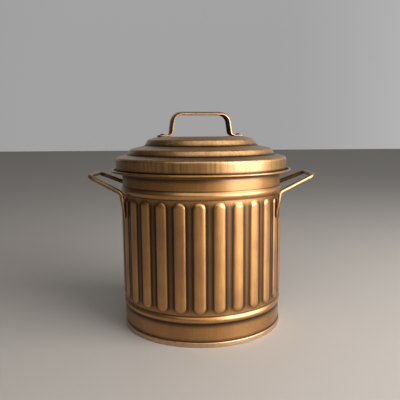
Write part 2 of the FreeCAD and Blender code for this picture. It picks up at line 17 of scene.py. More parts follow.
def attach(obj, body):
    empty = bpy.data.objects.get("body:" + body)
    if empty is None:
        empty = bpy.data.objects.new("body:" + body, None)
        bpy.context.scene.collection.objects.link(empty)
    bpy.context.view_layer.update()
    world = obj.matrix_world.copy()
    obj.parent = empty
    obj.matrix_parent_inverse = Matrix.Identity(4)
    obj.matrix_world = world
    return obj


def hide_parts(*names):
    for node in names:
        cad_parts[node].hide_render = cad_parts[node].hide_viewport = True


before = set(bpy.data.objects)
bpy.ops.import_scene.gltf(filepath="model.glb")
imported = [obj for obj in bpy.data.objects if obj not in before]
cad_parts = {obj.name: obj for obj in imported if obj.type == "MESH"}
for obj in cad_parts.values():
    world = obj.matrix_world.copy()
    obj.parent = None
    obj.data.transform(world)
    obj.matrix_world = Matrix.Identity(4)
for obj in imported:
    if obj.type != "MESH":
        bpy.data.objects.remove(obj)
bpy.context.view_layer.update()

LOG = logging.getLogger("bin")
MM = 0.001


class Body(Enum):
    """The bodies that a piece can ride on."""

    CAN = "can"
    LID = "lid"


class Slot(Enum):
    """Names of material slots for the built pieces; nothing in this script uses them."""

    BODY = "body_metal"
    LID = "lid_metal"
    HANDLE = "handle_metal"
    RIVET = "rivet_metal"


def unit(vectors: np.ndarray) -> np.ndarray:
    """Scales vectors to length one. The last axis holds their components."""
    return vectors / np.linalg.norm(vectors, axis=-1, keepdims=True)


def smooth_step(start: float, end: float, values: np.ndarray) -> np.ndarray:
    """Climbs from 0, for values up to start, to 1, from end on, as 3t squared minus 2t cubed."""
    share = np.clip((values - start) / (end - start), 0.0, 1.0)
    return share * share * (3.0 - 2.0 * share)


def soft_max(first: np.ndarray, second: np.ndarray, blend: float) -> np.ndarray:
    """The larger of two heights with a rounded crease.

    The formula is half of a + b + root of ((a - b) squared + blend squared).

    Args:
        first: One height field.
        second: The other, of the same shape.
        blend: Size of the rounding, in metres.

    Returns:
        The blended height field. Where both are equal it lies half of blend above them.
    """
    return 0.5 * (first + second + np.sqrt((first - second) ** 2 + blend**2))


def rounded_line(corners: np.ndarray, radii: np.ndarray, steps: int, hold: float = 0.0) -> np.ndarray:
    """Points along a line through corners, with each inner corner replaced by a tangent arc.

    An arc begins radius / tan(half the corner's angle) before its corner. Its points turn about its centre by
    the slerp formula. With hold, one more point lies on the straight run just outside each end of an arc, so
    that the shading of the straight run stays flat.

    Args:
        corners: Corners in two or three dimensions, one row each.
        radii: One radius for each inner corner.
        steps: Points on each arc.
        hold: Distance of the extra points from an arc's ends, or 0 for none.

    Returns:
        The points, one row each, with the first and last corner kept.
    """
    middle = corners[1:-1]
    into = unit(corners[:-2] - middle)
    out = unit(corners[2:] - middle)
    half = 0.5 * np.arccos(np.clip(np.sum(into * out, axis=1), -1.0, 1.0))[:, None]
    radius = np.asarray(radii, float)[:, None]
    reach = radius / np.tan(half)
    centre = middle + unit(into + out) * radius / np.sin(half)
    first = middle + into * reach
    last = middle + out * reach
    turn = (math.pi - 2.0 * half)[:, None]
    share = np.linspace(0.0, 1.0, steps)[None, :, None]
    start_weight = np.sin((1.0 - share) * turn) / np.sin(turn)
    end_weight = np.sin(share * turn) / np.sin(turn)
    arcs = centre[:, None] + start_weight * (first - centre)[:, None] + end_weight * (last - centre)[:, None]
    if hold > 0.0:
        before = (first + into * hold)[:, None]
        after = (last + out * hold)[:, None]
        arcs = np.concatenate([before, arcs, after], axis=1)
    return np.concatenate([corners[:1], arcs.reshape(-1, corners.shape[1]), corners[-1:]])


def arc(centre: tuple[float, float], radius: float, start: float, end: float, steps: int) -> np.ndarray:
    """Points on a circular arc in a profile's plane, as rows of (distance from the axis, height).

    The arc runs from the angle start to the angle end, in degrees, and has as many points as steps says.
    """
    angle = np.radians(np.linspace(start, end, steps))
    return np.stack([centre[0] + radius * np.cos(angle), centre[1] + radius * np.sin(angle)], axis=1)


def turned(profile: np.ndarray, columns: int) -> np.ndarray:
    """Turns a profile, rows of (r, height), about Z: x = r cos(angle), y = r sin(angle), z = height."""
    angle = np.linspace(0.0, 2.0 * math.pi, columns, endpoint=False)
    across = profile[:, 0][:, None]
    height = np.broadcast_to(profile[:, 1][:, None], (len(profile), columns))
    return np.stack([across * np.cos(angle), across * np.sin(angle), height], axis=2)


def carried(path: np.ndarray, side: np.ndarray, up: np.ndarray, section: np.ndarray) -> np.ndarray:
    """Carries a section along a path: point + across * side + rise * up.

    Args:
        path: Middle line, one row for each ring.
        side: Unit vector across the path at each ring.
        up: Unit vector out of the path at each ring.
        section: For each ring, the section's points as (across, rise).

    Returns:
        A grid of points, one row for each ring.
    """
    return path[:, None] + section[..., :1] * side[:, None] + section[..., 1:] * up[:, None]


def tangents(path: np.ndarray) -> np.ndarray:
    """Unit directions along a path, from its differences."""
    return unit(np.gradient(path, axis=0))


def run_length(path: np.ndarray) -> np.ndarray:
    """Distance along a path up to each of its points."""
    return np.concatenate([[0.0], np.cumsum(np.linalg.norm(np.diff(path, axis=0), axis=1))])


def points_along(path: np.ndarray, length: np.ndarray, places: np.ndarray) -> np.ndarray:
    """Points of a path at the distances in places, by linear steps between its own, which are at length."""
    return np.stack([np.interp(places, length, values) for values in path.T], axis=1)


def resampled(path: np.ndarray, step: float) -> np.ndarray:
    """Spreads points evenly along a path, about one step apart, in place of its own points."""
    length = run_length(path)
    places = np.linspace(0.0, length[-1], max(2, int(round(length[-1] / step)) + 1))
    return points_along(path, length, places)


def enriched(path: np.ndarray, step: float) -> np.ndarray:
    """Keeps a path's own points and adds evenly spread ones, one step apart, on its long runs."""
    length = run_length(path)
    extra = np.arange(step, length[-1], step)
    gap = np.min(np.abs(extra[:, None] - length[None, :]), axis=1)
    places = np.sort(np.concatenate([length, extra[gap > 0.5 * step]]))
    return points_along(path, length, places)


def turn_about_axis(points: np.ndarray, degrees: float) -> np.ndarray:
    """Turns points about Z by degrees, counter-clockwise seen from above."""
    turn = np.array(Matrix.Rotation(math.radians(degrees), 3, "Z"))
    return points @ turn.T


@dataclass
class Surface:
    """A grid of points and how its edges join.

    Attributes:
        points: Grid of points, rows by columns by three.
        loop_rows: The last row joins the first. Otherwise a middle point closes each of the two.
        flip: Turns the faces round, so that they point outwards.
        hollow: How dark each point is painted, from 0 to 1, or None: patina in creases and painted shade.
    """

    points: np.ndarray
    loop_rows: bool = False
    flip: bool = False
    hollow: np.ndarray | None = None

    def faces(self) -> list[list[int]]:
        """Point numbers of the quads between rows and columns, and of the triangles to the cap points."""
        rows, columns = self.points.shape[:2]
        number = np.arange(rows * columns).reshape(rows, columns)
        if self.loop_rows:
            lower, upper = number, np.roll(number, -1, axis=0)
        else:
            lower, upper = number[:-1], number[1:]
        next_lower = np.roll(lower, -1, axis=1)
        next_upper = np.roll(upper, -1, axis=1)
        quads = np.stack([lower, next_lower, next_upper, upper], axis=2).reshape(-1, 4)
        order = slice(None, None, -1) if self.flip else slice(None)
        listed = quads[:, order].tolist()
        if self.loop_rows:
            return listed
        first, last = number[0], number[-1]
        caps = ((np.roll(first, -1), first), (last, np.roll(last, -1)))
        for middle, (start, end) in enumerate(caps, number.size):
            cap = np.stack([start, end, np.full(columns, middle)], axis=1)
            listed += cap[:, order].tolist()
        return listed

    def vertices(self) -> np.ndarray:
        """All points in one list, with the cap points at its end."""
        listed = self.points.reshape(-1, 3)
        if self.loop_rows:
            return listed
        return np.concatenate([listed, self.points[[0, -1]].mean(axis=1)])

    def make(self, name: str) -> bpy.types.Object:
        """Makes a smooth-shaded object and its mesh, both of that name, and links it to the scene."""
        mesh = bpy.data.meshes.new(name)
        vertices = self.vertices()
        mesh.from_pydata(vertices.tolist(), [], self.faces())
        mesh.polygons.foreach_set("use_smooth", np.ones(len(mesh.polygons), bool))
        if self.hollow is not None:
            values = np.zeros(len(vertices), np.float32)
            values[: self.hollow.size] = self.hollow.ravel()
            mesh.attributes.new("hollow", "FLOAT", "POINT").data.foreach_set("value", values)
        mesh.update()
        piece = bpy.data.objects.new(name, mesh)
        bpy.context.scene.collection.objects.link(piece)
        return piece


class Shader:
    """Lays out one material's nodes."""

    def __init__(self, name: str) -> None:
        """Starts an empty material of that name with its output."""
        self.material = bpy.data.materials.new(name)
        self.material.use_nodes = True
        self.tree = self.material.node_tree
        self.tree.nodes.clear()
        self.output = self.tree.nodes.new("ShaderNodeOutputMaterial")

    def add(self, kind: str, inputs: dict | None = None, **settings: object) -> bpy.types.Node:
        """Adds a node and returns it.

        Args:
            kind: Type of the node, without its prefix.
            inputs: Socket name to a value, or to a socket that feeds it.
            settings: Properties of the node.
        """
        node = self.tree.nodes.new(f"ShaderNode{kind}")
        for name, value in settings.items():
            setattr(node, name, value)
        for name, value in (inputs or {}).items():
            if isinstance(value, bpy.types.NodeSocket):
                self.tree.links.new(value, node.inputs[name])
            else:
                node.inputs[name].default_value = value
        return node

    def ramp(self, factor: bpy.types.NodeSocket, stops: list[tuple[float, tuple]]) -> bpy.types.NodeSocket:
        """Maps a number to a run between two stops, each a place and a colour, the lower one first."""
        node = self.add("ValToRGB", {"Fac": factor})
        for element, (place, tone) in zip(node.color_ramp.elements, stops):
            element.position = place
            element.color = tone
        return node.outputs["Color"]

    def finish(self, shader: bpy.types.Node) -> bpy.types.Material:
        """Joins a surface shader to the output and returns the material."""
        self.tree.links.new(shader.outputs[0], self.output.inputs["Surface"])
        return self.material


def colour(red: float, green: float, blue: float) -> tuple[float, float, float, float]:
    """Turns a colour as seen on a screen, 0 to 255, into the linear colour that a shader takes."""
    seen = np.array([red, green, blue]) / 255.0
    linear = np.where(seen <= 0.04045, seen / 12.92, ((seen + 0.055) / 1.055) ** 2.4)
    return (*(float(value) for value in linear), 1.0)


@dataclass(frozen=True)
class AntiqueBrass:
    """Brushed sheet brass with a brown patina, and a crease colour laid on as patina and painted shade.

    Attributes:
        name: Name of the material.
        bright: Colour where handling keeps it clean.
        brown: Colour of the thin patina.
        crease: Colour that the hollow attribute lays on: patina in the creases, and painted shade there and
            on shaded faces.
        roughness: Middle roughness.
        roughness_swing: How far the brushing lowers and raises the roughness.
        cloud_scale: Size of the patina's clouds, as noise scale.
        tone_range: Values of the pattern at which the tone is all brown and all bright.
        streaks: How often brushing streaks repeat per metre along X, Y and Z.
        streak_depth: Height of the brushing, as bump strength.
        streak_share: Share of the brushing in the patina's pattern, the rest being clouds.
        lacquer: Weight of the clear lacquer where it is clean.
        lacquer_in_dark: Weight of the lacquer where the hollow attribute lays on patina and painted shade.
        lacquer_roughness: Roughness of the lacquer.
        lacquer_index: Refractive index of the lacquer.
    """

    name: str
    bright: tuple
    brown: tuple
    crease: tuple
    roughness: float = 0.42
    roughness_swing: tuple[float, float] = (-0.06, 0.08)
    cloud_scale: float = 26.0
    tone_range: tuple[float, float] = (0.38, 0.64)
    streaks: tuple[float, float, float] = (900.0, 900.0, 25.0)
    streak_depth: float = 0.06
    streak_share: float = 0.5
    lacquer: float = 0.75
    lacquer_in_dark: float = 0.15
    lacquer_roughness: float = 0.32
    lacquer_index: float = 2.0

    def make(self) -> bpy.types.Material:
        """Lays out the material: patina clouds, crease colour for patina and painted shade, brushing and
        lacquer.
        """
        shader = Shader(self.name)
        place = shader.add("TexCoord").outputs["Object"]
        clouds = shader.add(
            "TexNoise", {"Vector": place, "Scale": self.cloud_scale, "Detail": 5.0, "Roughness": 0.6}
        )
        stretched = shader.add("Mapping", {"Vector": place, "Scale": self.streaks})
        lines = shader.add("TexNoise", {"Vector": stretched.outputs[0], "Scale": 1.0, "Detail": 3.0})
        mottle = shader.add(
            "Mix", {"Factor": self.streak_share, "A": clouds.outputs["Fac"], "B": lines.outputs["Fac"]}
        )
        low, high = self.tone_range
        tone = shader.ramp(mottle.outputs["Result"], [(low, self.brown), (high, self.bright)])
        hollow = shader.add("Attribute", attribute_name="hollow").outputs["Fac"]
        # The hollow attribute mixes in the crease colour: patina and painted shade.
        body = shader.add("Mix", {"Factor": hollow, "A": tone, "B": self.crease}, data_type="RGBA")
        smoother, rougher = self.roughness_swing
        rough = shader.add(
            "MapRange",
            {"Value": lines.outputs["Fac"], "From Min": 0.3, "From Max": 0.7,
             "To Min": self.roughness + smoother, "To Max": self.roughness + rougher},
        )
        bump = shader.add(
            "Bump", {"Strength": self.streak_depth, "Distance": 0.2 * MM, "Height": lines.outputs["Fac"]}
        )
        coat = shader.add("MapRange", {"Value": hollow, "To Min": self.lacquer, "To Max": self.lacquer_in_dark})
        surface = shader.add(
            "BsdfPrincipled",
            {"Base Color": body.outputs["Result"], "Metallic": 1.0, "Roughness": rough.outputs["Result"],
             "Normal": bump.outputs["Normal"], "Coat Weight": coat.outputs["Result"],
             "Coat Roughness": self.lacquer_roughness, "Coat IOR": self.lacquer_index},
        )
        return shader.finish(surface)


@dataclass(frozen=True)
class PlainSteel:
    """Bare drawn steel, as on wire and rivets.

    Attributes:
        name: Name of the material.
        tone: Colour of the metal.
        roughness: Middle roughness.
        swing: How far the scuffs lower and raise the roughness.
        shade: Share of the tone that is left in the scuffs.
    """

    name: str
    tone: tuple
    roughness: float = 0.35
    swing: float = 0.1
    shade: float = 0.7

    def make(self) -> bpy.types.Material:
        """Lays out the material: bare metal with faint scuffs."""
        shader = Shader(self.name)
        place = shader.add("TexCoord").outputs["Object"]
        scuffs = shader.add("TexNoise", {"Vector": place, "Scale": 900.0, "Detail": 4.0})
        rough = shader.add(
            "MapRange",
            {"Value": scuffs.outputs["Fac"], "To Min": self.roughness - self.swing,
             "To Max": self.roughness + self.swing},
        )
        dark = tuple(self.shade * value for value in self.tone[:3]) + (1.0,)
        tone = shader.ramp(scuffs.outputs["Fac"], [(0.35, dark), (0.6, self.tone)])
        surface = shader.add(
            "BsdfPrincipled", {"Base Color": tone, "Metallic": 1.0, "Roughness": rough.outputs["Result"]}
        )
        return shader.finish(surface)


# The third colour of each brass is its crease colour, which the hollow attribute lays on as patina and
# painted shade.
BODY_BRASS = AntiqueBrass(
    "body_brass", colour(196, 136, 52), colour(164, 106, 34), colour(56, 37, 18), streak_share=0.25
)
HOOP_BRASS = AntiqueBrass("hoop_brass", colour(210, 168, 120), colour(184, 138, 90), colour(72, 52, 36))
LID_BRASS = AntiqueBrass(
    "lid_brass", colour(208, 158, 88), colour(166, 114, 50), colour(58, 40, 22),
    streaks=(480.0, 480.0, 16.0), streak_share=0.6,
)
HANDLE_BRASS = AntiqueBrass("handle_brass", colour(198, 148, 84), colour(152, 106, 52), colour(50, 34, 20))
RIVET_STEEL = PlainSteel("rivet_steel", colour(178, 172, 166))
WIRE_STEEL = PlainSteel("wire_steel", colour(150, 140, 130))


def dress(
    piece: bpy.types.Object, finish: bpy.types.Material, body: Body, node: str = ""
) -> None:
    """Gives a piece its material and its place among the bodies.

    Args:
        piece: The piece.
        finish: Its material.
        body: The body that it rides on.
        node: The CAD node that it stands for, if any.
    """
    piece.data.materials.append(finish)
    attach(piece, body.value)
    if node:
        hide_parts(node)
    LOG.info("%s: %d faces", piece.name, len(piece.data.polygons))


@dataclass
class CanWall:
    """The rolled sheet wall with beads, flutes, flare and rolled lip."""

    radius: float = 93.0 * MM
    sheet: float = 0.8 * MM
    flange: float = 181.0 * MM
    flange_reach: float = 11.4 * MM
    flare: float = 3.0 * MM
    lip: float = 1.5 * MM
    lip_turn: float = 280.0
    bead_proud: float = 2.0 * MM
    bead_half: float = 4.0 * MM
    bead_heights: tuple[float, float] = (29.5 * MM, 161.3 * MM)
    flutes: int = 28
    flute_proud: float = 2.1 * MM
    flute_half: float = 6.3 * MM
    flute_margin: float = 13.5 * MM
    crease: float = 0.45 * MM
    hoop_top: float = 5.6 * MM
    end_rows: float = 1.0 * MM
    row_counts: tuple[int, ...] = (3, 5, 16, 14, 8, 14, 16, 3)
    flare_steps: int = 7
    lip_steps: int = 24
    inner_lip_steps: int = 8
    column_places: tuple[float, ...] = (0.0, 0.22, 0.40, 0.48, 0.54, 0.585, 0.63, 0.72)
    bead_rows: float = 1.35
    # The numbers below shape the painted darkness: patina and painted shade in the valleys and at the beads'
    # feet, painted shade below the lower bead, above the hoop, under the flange, on the plain bands and
    # inside.
    valley_edge: tuple[float, float] = (0.82, 1.06)
    valley_middle: tuple[float, float] = (1.15, 1.6)
    valley_easing: float = 0.3
    end_patina_and_shade: float = 0.35
    bead_foot: float = 1.1
    bead_foot_width: float = 0.22
    bead_foot_shade_and_patina: float = 0.95
    bead_crown: tuple[float, float] = (0.3, 0.9)
    bead_shade: float = 3.0
    hoop_shade: tuple[float, float] = (0.9 * MM, 4.5 * MM)
    flange_shade: float = 9.0 * MM
    flange_shadow: float = 0.7
    plain_shade: float = 0.22
    inside_shade: float = 0.8

    @property
    def pitch(self) -> float:
        """Angle from one flute to the next."""
        return 2.0 * math.pi / self.flutes

    def angles(self) -> np.ndarray:
        """Angles of the columns: for each flute its middle, closer columns on its flanks, and the valley."""
        right = np.array(self.column_places)
        places = np.concatenate([right, [1.0], -right[:0:-1] + 2.0]) * 0.5 * self.pitch
        return (np.arange(self.flutes)[:, None] * self.pitch + places).ravel()

    def flute_distance(self, heights: np.ndarray) -> np.ndarray:
        """Distance of each point from the nearest flute's upright middle line, in half widths of a flute.

        It is a grid, rows by columns, and 1 along a flute's edge.
        """
        swing = (self.angles() + 0.5 * self.pitch) % self.pitch - 0.5 * self.pitch
        low = self.bead_heights[0] + self.flute_margin
        high = self.bead_heights[1] - self.flute_margin
        past_end = np.clip(low - heights, 0.0, None) + np.clip(heights - high, 0.0, None)
        return np.hypot(self.radius * swing[None, :], past_end[:, None]) / self.flute_half

    def bead_distance(self, heights: np.ndarray) -> np.ndarray:
        """Distance of each row from the nearest bead's middle, in half widths of a bead."""
        return np.min([np.abs(heights - middle) for middle in self.bead_heights], axis=0) / self.bead_half

    def relief(self, heights: np.ndarray, inset: float) -> np.ndarray:
        """How far the wall stands out of its plain cylinder.

        A flute's section is flat-topped with steep flanks: proud * root of (1 - distance cubed). A bead's
        section is a low arch: proud * (1 - distance squared). Both and the plain wall are joined by soft_max,
        so that the creases are rounded as pressed sheet is. On the inner face the forms are narrower.

        Args:
            heights: Heights of the rows.
            inset: Distance of this face inside the outer face.

        Returns:
            Grid of distances, rows by columns.
        """
        flute_share = self.flute_distance(heights) * self.flute_half / (self.flute_half - 0.5 * inset)
        flute = self.flute_proud * np.sqrt(np.clip(1.0 - flute_share**3, 0.0, None)) - self.crease
        bead_share = self.bead_distance(heights) * self.bead_half / (self.bead_half - 0.5 * inset)
        bead = self.bead_proud * np.clip(1.0 - bead_share**2, 0.0, None) - self.crease
        rise = soft_max(flute, np.broadcast_to(bead[:, None], flute.shape), self.crease)
        return soft_max(rise, np.zeros_like(rise), self.crease)

    def wall_heights(self) -> np.ndarray:
        """Heights of the wall's rows, close together where it bends."""
        low_bead, high_bead = self.bead_heights
        bead = self.bead_rows * self.bead_half
        bottom = low_bead + self.flute_margin + self.end_rows
        top = high_bead - self.flute_margin - self.end_rows
        flare_start = self.flange - self.flare - self.sheet
        bounds = [
            self.sheet, self.hoop_top, low_bead - bead, low_bead + bead, bottom,
            top, high_bead - bead, high_bead + bead, flare_start,
        ]
        stretches = [
            np.linspace(start, end, count, endpoint=False)
            for start, end, count in zip(bounds[:-1], bounds[1:], self.row_counts)
        ]
        return np.concatenate([*stretches, [flare_start]])

    def build(self) -> bpy.types.Object:
        """Builds the wall as one closed loop of rows: outside, lip, inside and the lower edge."""
        heights = self.wall_heights()
        outside = self.radius + self.relief(heights, 0.0)
        inside = self.radius - self.sheet + self.relief(heights[::-1], self.sheet)
        lip_middle = (self.radius + self.flange_reach, self.flange + self.lip)
        outer_centre = (self.radius + self.flare, self.flange - self.flare)
        inner_flare = self.flare + self.sheet
        inner_centre = (self.radius - self.sheet + inner_flare, self.flange + self.sheet - inner_flare)
        rim = np.concatenate([
            arc(outer_centre, self.flare, 180.0, 90.0, self.flare_steps),
            arc(lip_middle, self.lip, -90.0, self.lip_turn - 90.0, self.lip_steps),
            arc(lip_middle, self.lip - self.sheet, self.lip_turn - 90.0, -90.0, self.inner_lip_steps),
            arc(inner_centre, inner_flare, 90.0, 180.0, self.flare_steps),
        ])
        rim_radius = np.repeat(rim[:, :1], outside.shape[1], axis=1)
        radius = np.concatenate([outside, rim_radius, inside])
        rows = self.rows(radius, np.concatenate([heights, rim[:, 1], heights[::-1]]))
        # Painted shade fills the inside, the flare under the lip, the flange's top and the inner lip; the
        # outside and the lip get their own shares.
        hollow = np.full(radius.shape, self.inside_shade)
        hollow[: len(heights)] = self.dark_share(heights)
        # The lip's roll takes painted shade and a painted dark reflection below its crown.
        lip_start = len(heights) + self.flare_steps
        hollow[lip_start : lip_start + self.lip_steps] = self.lip_shade()[:, None]
        return Surface(rows, loop_rows=True, hollow=hollow).make("can_wall_sheet")

    def lip_shade(self) -> np.ndarray:
        """Painted shade along the lip's roll: its outer crown keeps the plain tone, its underside and its
        curl get painted shade and a painted dark reflection.
        """
        angle = np.linspace(-90.0, self.lip_turn - 90.0, self.lip_steps)
        return 0.9 * (1.0 - smooth_step(-40.0, 0.0, angle) * (1.0 - smooth_step(110.0, 150.0, angle)))

    def rows(self, radius: np.ndarray, heights: np.ndarray) -> np.ndarray:
        """Places a grid of radii round the axis, with one height for each row."""
        angle = self.angles()
        level = np.broadcast_to(heights[:, None], radius.shape)
        return np.stack([radius * np.cos(angle), radius * np.sin(angle), level], axis=2)

    def dark_share(self, heights: np.ndarray) -> np.ndarray:
        """How dark the outside is painted, from 0 to 1.

        The valleys between the flutes take patina and painted shade: a valley's share climbs by smooth_step
        across the flute's edge and fades past the flutes' ends. A bell curve lays painted shade and patina on
        both feet of each bead. Painted shade also lies below the lower bead, in the hoop's crease, on the
        neck below the flange and on the plain bands. The beads' crowns keep the plain tone.

        The grid's shares go from 0, the plain tone, to 1, dark.
        """
        low_bead, high_bead = self.bead_heights
        in_belt = smooth_step(low_bead + self.bead_half, low_bead + self.flute_margin, heights)
        in_belt *= 1.0 - smooth_step(high_bead - self.flute_margin, high_bead - self.bead_half, heights)
        # Valleys between the flutes: patina and painted shade.
        away = self.flute_distance(heights)
        valley = smooth_step(*self.valley_edge, away)
        valley *= 1.0 - self.valley_easing * smooth_step(*self.valley_middle, away)
        valley *= (self.end_patina_and_shade + (1.0 - self.end_patina_and_shade) * in_belt)[:, None]
        between_beads = (heights > low_bead) & (heights < high_bead)
        valley *= between_beads[:, None]
        from_bead = self.bead_distance(heights)
        # Bead feet: painted shade and patina in the creases.
        bead_feet = np.exp(-(((from_bead - self.bead_foot) / self.bead_foot_width) ** 2))
        bead_feet *= self.bead_foot_shade_and_patina
        # Painted shade below the lower bead, above the hoop, under the flange and on the plain bands.
        shade_end = low_bead - self.bead_shade * self.bead_half
        under_bead = smooth_step(shade_end, low_bead - self.bead_half, heights)
        under_bead *= heights < low_bead
        above_hoop = 1.0 - smooth_step(*self.hoop_shade, heights - self.hoop_top)
        below_flange = smooth_step(self.flange - self.flange_shade, self.flange - self.flare, heights)
        below_flange *= self.flange_shadow
        plain = np.where(between_beads, 0.0, self.plain_shade)
        rings = np.max([bead_feet, under_bead, above_hoop, below_flange, plain], axis=0)
        # The beads' crowns keep the plain tone, free of patina and painted shade.
        unshaded_bead = smooth_step(*self.bead_crown, from_bead)
        return np.maximum(valley, rings[:, None]) * unshaded_bead[:, None]


@dataclass
class BasePan:
    """The raised floor and the hoop that takes the wall's lower edge."""

    wall: CanWall
    hoop_thickness: float = 1.4 * MM
    hoop_rounding: float = 1.1 * MM
    seam: float = 0.05 * MM
    floor_rise: float = 4.0 * MM
    edge: float = 0.25 * MM
    hoop_edge: float = 0.2 * MM
    channel_edge: float = 0.04 * MM
    middle: float = 1.0 * MM
    hold: float = 0.15 * MM
    arc_steps: int = 8
    columns: int = 256

    def build(self) -> bpy.types.Object:
        """Turns the pan's section: floor underside, ring below, rounded hoop, channel and floor top."""
        sheet = self.wall.sheet
        outer_seam = self.wall.radius + self.seam
        inner_seam = self.wall.radius - sheet - self.seam
        hoop = outer_seam + self.hoop_thickness
        corners = np.array([
            [self.middle, self.floor_rise],
            [inner_seam - sheet, self.floor_rise],
            [inner_seam - sheet, 0.0],
            [hoop, 0.0],
            [hoop, self.wall.hoop_top],
            [outer_seam, self.wall.hoop_top],
            [outer_seam, sheet],
            [inner_seam, sheet],
            [inner_seam, self.floor_rise + sheet],
            [self.middle, self.floor_rise + sheet],
        ])
        radii = np.array([
            self.edge, self.edge, self.hoop_rounding, self.hoop_rounding,
            self.hoop_edge, self.channel_edge, self.channel_edge, self.edge,
        ])
        profile = rounded_line(corners, radii, self.arc_steps, self.hold)
        return Surface(turned(profile, self.columns)).make("base_pan_sheet")


@dataclass
class SideHandle:
    """A bent rod whose two ends are hammered flat against the flutes."""

    wall: CanWall
    sign: int
    foot_flutes: int = 2
    rod: float = 2.6 * MM
    rise: float = 24.2
    leg: float = 44.4 * MM
    grip_width: float = 54.0 * MM
    bend: float = 11.0 * MM
    foot_bend: float = 6.0 * MM
    corner_height: float = 158.5 * MM
    foot_straight: float = 0.2 * MM
    foot_thickness: float = 2.0 * MM
    foot_width: float = 8.4 * MM
    flatten: float = 18.0 * MM
    foot_bottom: float = 130.2 * MM
    least_width: float = 0.12
    squareness: float = 0.45
    path_step: float = 0.6 * MM
    bend_steps: int = 16
    ring_points: int = 28

    def path(self) -> np.ndarray:
        """Middle line of the rod, from the near foot's lower end over the grip to the far one's."""
        near = self.near_corners()
        far = near[::-1] * np.array([1.0, -1.0, 1.0])
        corners = np.concatenate([near, far])
        radii = np.array([self.foot_bend, self.bend, self.bend, self.foot_bend])
        return resampled(rounded_line(corners, radii, self.bend_steps), self.path_step)

    def near_corners(self) -> np.ndarray:
        """Corners of the middle line's near half.

        Returns:
            The foot's lower end, the foot bend's corner and the grip's corner, an array (3, 3).
        """
        angle = self.foot_flutes * self.wall.pitch
        reach = self.wall.radius + self.wall.flute_proud + self.rod
        foot_x = reach * math.cos(angle)
        foot_y = -reach * math.sin(angle)
        slope = math.radians(self.rise)
        grip_x = foot_x + self.leg * math.cos(slope)
        grip_z = self.corner_height + self.leg * math.sin(slope)
        return np.array([
            [foot_x, foot_y, self.foot_bottom],
            [foot_x, foot_y, self.corner_height],
            [grip_x, -0.5 * self.grip_width, grip_z],
        ])

    def flat_length(self) -> float:
        """Length of a foot from its lower end to where the rod is round again."""
        corners = self.near_corners()
        leg = unit(corners[2:] - corners[1:2])[0]
        half_turn = 0.5 * math.acos(float(leg[2]))
        foot = self.corner_height - self.foot_bottom
        return foot - self.foot_bend * math.tan(half_turn) - self.foot_straight

    def build(self) -> bpy.types.Object:
        """Carries the rod's section along its path and flattens it towards both ends.

        The side vector is the loop plane's normal crossed with the path's direction. In a foot the section
        turns to face the axis, widens, thins and moves towards the wall. Its end narrows as a half ellipse.

        Returns:
            The handle's object.
        """
        path = self.path()
        along = tangents(path)
        slope = math.radians(self.rise)
        loop_normal = np.array([-math.sin(slope), 0.0, math.cos(slope)])
        side = unit(np.cross(loop_normal, along))
        up = np.cross(along, side)
        length = run_length(path)
        from_end = np.minimum(length, length[-1] - length)
        flat_length = self.flat_length()
        round_share = np.clip(1.0 + (from_end - flat_length) / self.flatten, 0.0, 1.0)
        flat_share = 1.0 - round_share
        end_share = np.clip(from_end / (0.5 * self.foot_width), 0.0, 1.0)
        end_width = np.sqrt(np.clip(1.0 - (1.0 - end_share) ** 2, 0.0, None))
        half_width = self.rod * round_share + 0.5 * self.foot_width * flat_share
        half_width = half_width * np.maximum(end_width, self.least_width)
        half_height = self.rod * round_share + 0.5 * self.foot_thickness * flat_share
        outward = unit(path * np.array([1.0, 1.0, 0.0]))
        facing = np.sign(np.sum(up * outward, axis=1, keepdims=True))
        up = unit(up * round_share[:, None] + facing * outward * flat_share[:, None])
        side = unit(np.cross(up, along))
        path = path - outward * ((self.rod - 0.5 * self.foot_thickness) * flat_share)[:, None]
        turn = np.linspace(0.0, 2.0 * math.pi, self.ring_points, endpoint=False)
        power = (1.0 - self.squareness * flat_share)[:, None]
        across = np.sign(np.cos(turn)) * np.abs(np.cos(turn)) ** power * half_width[:, None]
        rise = np.sign(np.sin(turn)) * np.abs(np.sin(turn)) ** power * half_height[:, None]
        grid = carried(path, side, up, np.stack([across, rise], axis=2))
        if self.sign < 0:
            grid = grid * np.array([-1.0, 1.0, 1.0])
        name = "right_handle_rod" if self.sign > 0 else "left_handle_rod"
        # Painted shade inside the loop and below.
        hollow = np.broadcast_to(self.dark_share(turn), grid.shape[:2])
        return Surface(grid, flip=self.sign < 0, hollow=hollow).make(name)

    def dark_share(self, turn: np.ndarray) -> np.ndarray:
        """How dark the rod is painted round its section: painted shade inside the loop and below, while the
        outside and top keep the plain tone.

        The angles in turn start at the loop's inside and go over its top.
        """
        inside = smooth_step(0.0, 0.8, np.cos(turn))
        below = smooth_step(0.2, 0.9, -np.sin(turn))
        return np.clip(0.75 * inside + 0.6 * below, 0.0, 0.9)


